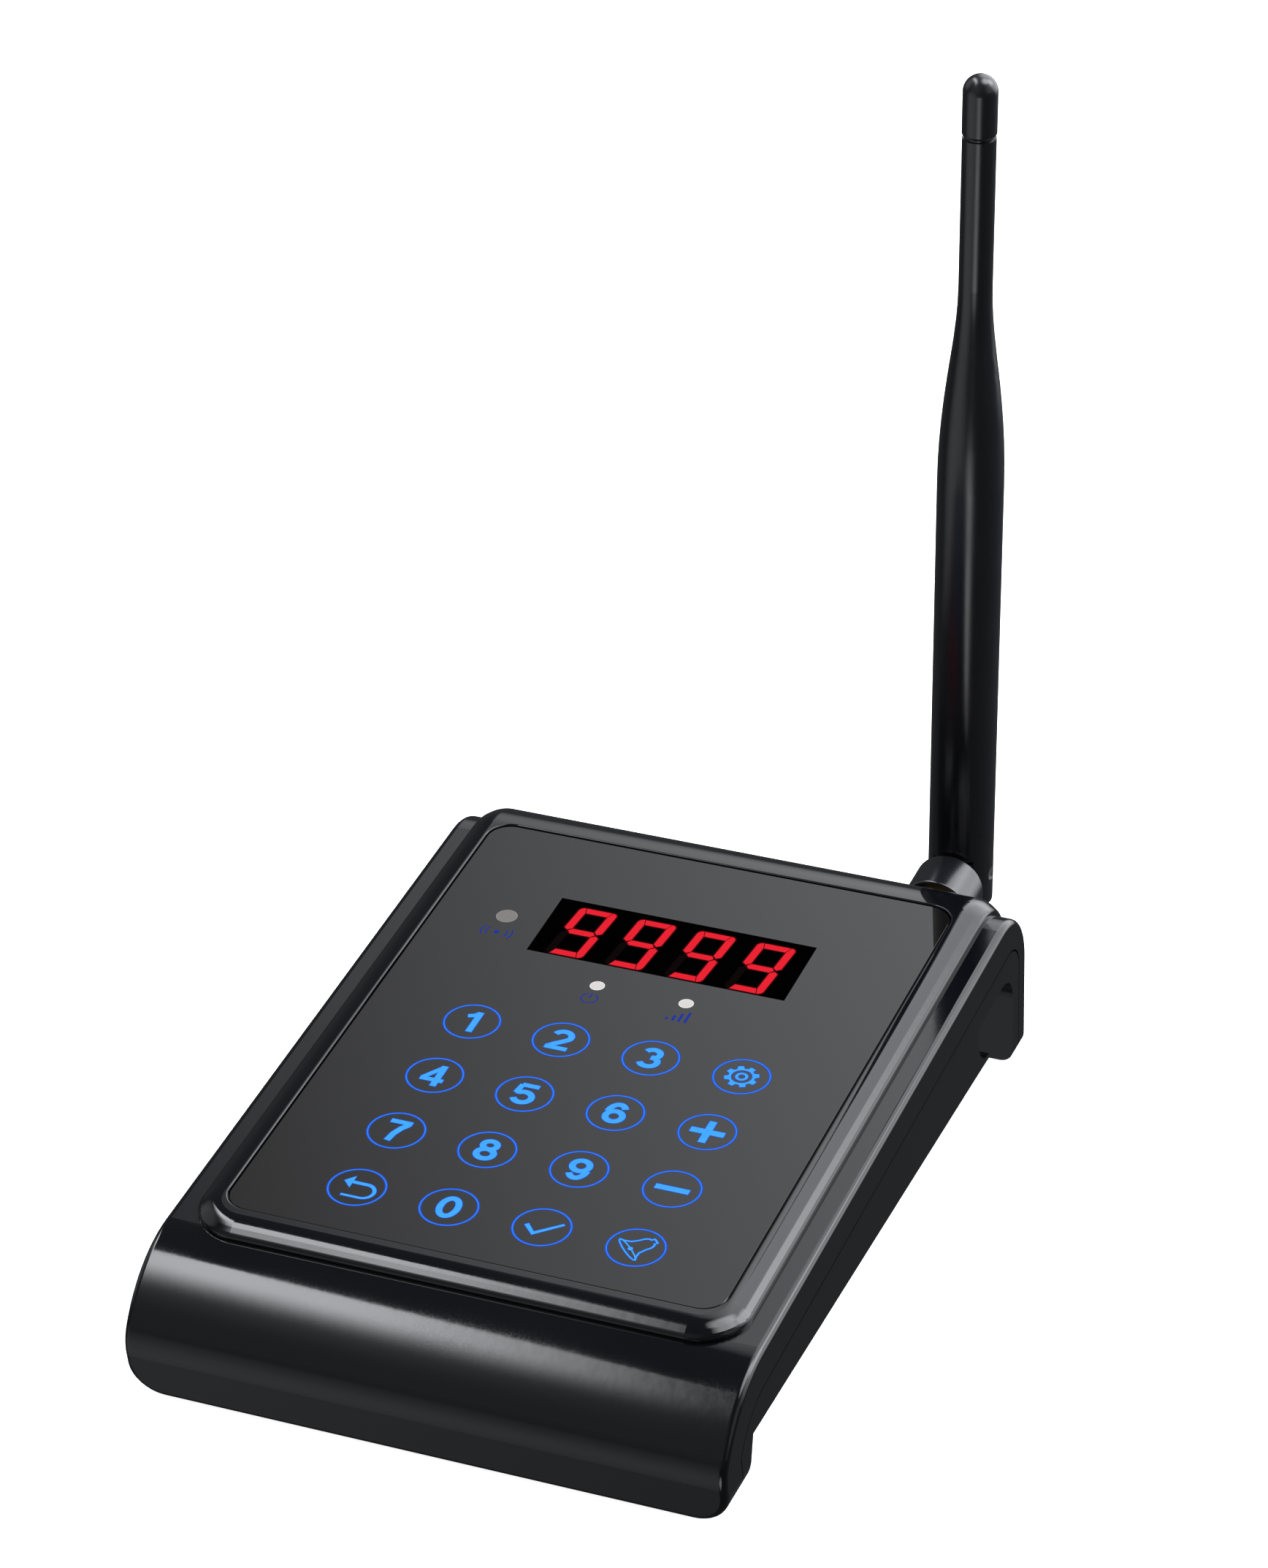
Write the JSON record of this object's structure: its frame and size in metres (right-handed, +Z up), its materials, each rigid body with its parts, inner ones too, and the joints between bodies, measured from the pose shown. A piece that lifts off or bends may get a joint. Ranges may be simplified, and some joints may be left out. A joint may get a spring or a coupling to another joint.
{
  "type": "desktop paging transmitter",
  "caption": "Desktop touch-keypad paging transmitter: a low glossy wedge case with a flush glass keypad, a red digit display and a hinged whip antenna.",
  "frame": {"origin": "on the table, under the middle of the outline's box", "axes": "+X to the right of the keypad, +Y from the front lip to the antenna, +Z up"},
  "size_m": [0.115, 0.197, 0.1947],
  "materials": {
    "piano_black_abs": "polished",
    "tinted_glass": "polished",
    "black_film": "satin",
    "circuit_board": "satin",
    "lamp_white": "frosted",
    "lamp_grey": "frosted",
    "display_black": "satin",
    "chip_black": "moulded",
    "plated_steel": "plated",
    "aluminium_can": "drawn",
    "gold_brass": "plated",
    "lead_jacket": "extruded",
    "rubber": "moulded",
    "antenna_plastic": "satin moulded",
    "copper_rod": "drawn"
  },
  "bodies": {
    "case": {"top_shell": "piano_black_abs", "bottom_shell": "piano_black_abs", "touch_glass": "tinted_glass", "printed_film": "black_film", "glass_tape": "black_film", "touch_board": "circuit_board", "main_board": "circuit_board", "radio_board": "circuit_board", "key_leds": "lamp_white", "power_lamp": "lamp_white", "signal_lamp": "lamp_white", "link_lamp": "lamp_grey", "display_module": "display_black", "microcontroller": "chip_black", "voltage_regulator": "chip_black", "buzzer": "chip_black", "board_link": "chip_black", "power_socket": "chip_black", "crystal": "plated_steel", "radio_shield": "plated_steel", "capacitors": "aluminium_can", "case_screws": "plated_steel", "board_screws": "plated_steel", "antenna_connector": "gold_brass", "connector_washer": "plated_steel", "connector_nut": "gold_brass", "coupling_sleeve": "gold_brass", "radio_lead": "lead_jacket", "rubber_feet": "rubber"},
    "antenna_base": {"antenna_knuckle": "antenna_plastic"},
    "antenna_whip": {"whip_sleeve": "antenna_plastic", "whip_tip": "antenna_plastic", "whip_element": "copper_rod", "hinge_pin": "plated_steel"}
  },
  "joints": [
    {"name": "antenna_swivel", "type": "hinge", "parent": "case", "child": "antenna_base", "pos_m": [0.0365, 0.09205, 0.0246], "axis": [0, 0.998, 0.0628], "range_deg": [-90, 90]},
    {"name": "antenna_tilt", "type": "hinge", "parent": "antenna_base", "child": "antenna_whip", "pos_m": [0.0365, 0.09205, 0.0246], "axis": [-1, 0, 0], "range_deg": [0, 86.4]}
  ]
}
